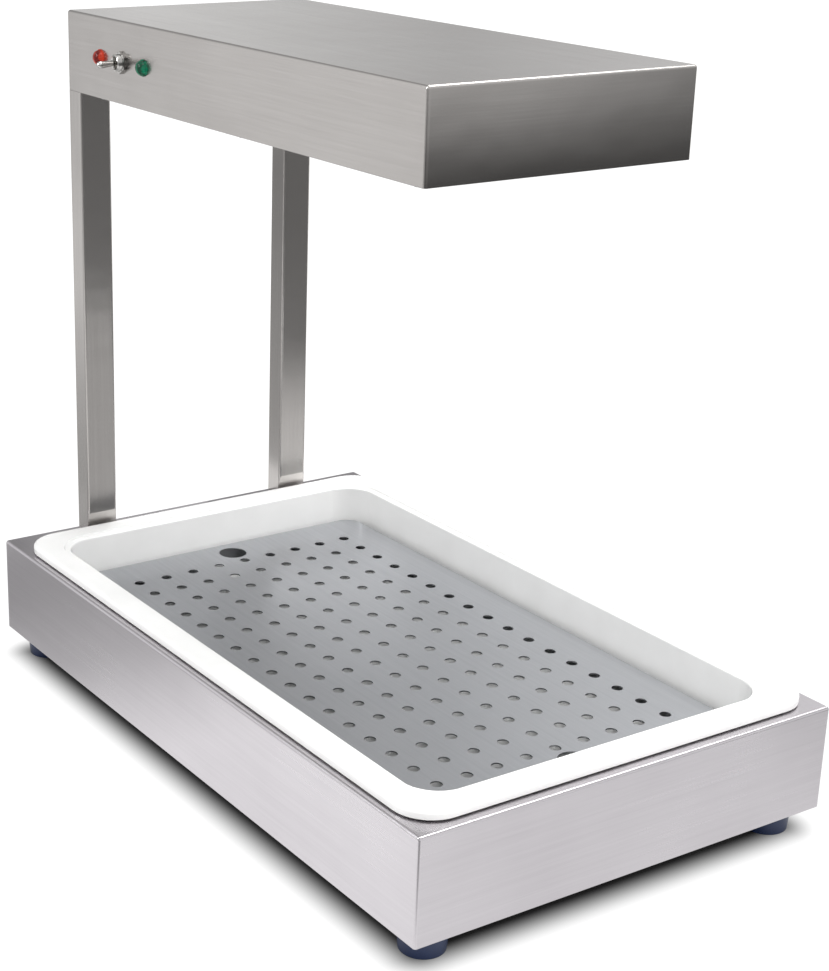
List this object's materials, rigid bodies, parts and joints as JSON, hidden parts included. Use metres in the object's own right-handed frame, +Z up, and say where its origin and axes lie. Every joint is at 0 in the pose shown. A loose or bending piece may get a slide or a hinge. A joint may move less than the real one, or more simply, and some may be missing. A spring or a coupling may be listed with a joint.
{
  "type": "heat lamp warmer",
  "caption": "Countertop food warmer: brushed steel base with a lift-out tray under a rear-posted hood that holds infrared lamps, a toggle switch and pilot lights.",
  "frame": {"origin": "centre of the bounding box's underside, on the surface that the feet stand on", "axes": "+Z up; the front of the base and of the hood faces -Y; the switch and pilot lamps face -X"},
  "size_m": [0.335, 0.568, 0.499],
  "materials": {
    "base_steel": "number 4 brushed, grain along the longest side",
    "hood_steel": "number 4 brushed, grain along the longest side",
    "post_steel": "brushed along the tube",
    "zinc_steel": "bright zinc plated",
    "foot_rubber": "moulded, satin",
    "reflector_aluminium": "polished",
    "guard_wire": "bright plated wire",
    "quartz": "clear",
    "tungsten": "dark coiled wire",
    "lamp_ceramic": "unglazed",
    "switch_plastic": "moulded",
    "switch_chrome": "bright",
    "red_lens": "translucent moulding",
    "green_lens": "translucent moulding",
    "pilot_plastic": "moulded",
    "gland_nylon": "moulded",
    "seal_rubber": "soft",
    "earth_brass": "turned",
    "brown_insulation": "silicone sleeved",
    "blue_insulation": "silicone sleeved",
    "green_insulation": "silicone sleeved, yellow stripe",
    "tray_white": "smooth moulding",
    "insert_steel": "pickled sheet with punched holes"
  },
  "bodies": {
    "warmer": {"base_bottom_plate": "base_steel", "base_mount_plate": "zinc_steel", "base_shell": "base_steel", "bottom_plate_screws": "zinc_steel", "cord_gland": "gland_nylon", "earth_nuts": "earth_brass", "earth_stud": "earth_brass", "foot_front_left": "foot_rubber", "foot_front_right": "foot_rubber", "foot_nuts": "zinc_steel", "foot_rear_left": "foot_rubber", "foot_rear_right": "foot_rubber", "foot_screws": "zinc_steel", "foot_washers": "zinc_steel", "gland_nut": "gland_nylon", "gland_seal": "seal_rubber", "green_pilot_body": "pilot_plastic", "green_pilot_lens": "green_lens", "guard_clips": "zinc_steel", "guard_screws": "zinc_steel", "holder_bracket_front": "zinc_steel", "holder_bracket_rear": "zinc_steel", "hood_bottom_panel": "hood_steel", "hood_mount_plate": "zinc_steel", "hood_panel_screws": "zinc_steel", "hood_shell": "hood_steel", "lamp_end_caps": "lamp_ceramic", "lamp_filament_left": "tungsten", "lamp_filament_right": "tungsten", "lamp_holders": "lamp_ceramic", "left_post": "post_steel", "pilot_nuts": "pilot_plastic", "pilot_wires": "brown_insulation", "post_bolt_washers": "zinc_steel", "post_bolts": "zinc_steel", "post_end_blocks": "zinc_steel", "quartz_lamp_left": "quartz", "quartz_lamp_right": "quartz", "red_pilot_body": "pilot_plastic", "red_pilot_lens": "red_lens", "reflector": "reflector_aluminium", "right_post": "post_steel", "switch_body": "switch_plastic", "switch_bushing": "switch_chrome", "switch_nut": "switch_chrome", "switch_washer": "switch_chrome", "terminal_block": "lamp_ceramic", "toggle_pin": "switch_chrome", "wire_earth": "green_insulation", "wire_guard": "guard_wire", "wire_link_front": "blue_insulation", "wire_link_rear": "brown_insulation", "wire_live": "brown_insulation", "wire_neutral": "blue_insulation", "wire_pilot_neutral": "blue_insulation", "wire_switched": "brown_insulation"},
    "lever": {"toggle_lever": "switch_chrome"},
    "tray": {"food_tray": "tray_white"},
    "insert": {"drain_insert": "insert_steel"}
  },
  "joints": [
    {"name": "switch_toggle", "type": "hinge", "parent": "warmer", "child": "lever", "pos_m": [-0.104, 0.1835, 0.47], "axis": [0, 0, -1], "range_deg": [0, 30]},
    {"name": "tray_lift", "type": "slide", "parent": "warmer", "child": "tray", "axis": [0, 0, 1], "range_m": [0, 0.06]},
    {"name": "insert_lift", "type": "slide", "parent": "tray", "child": "insert", "axis": [0, 0, 1], "range_m": [0, 0.06]}
  ]
}
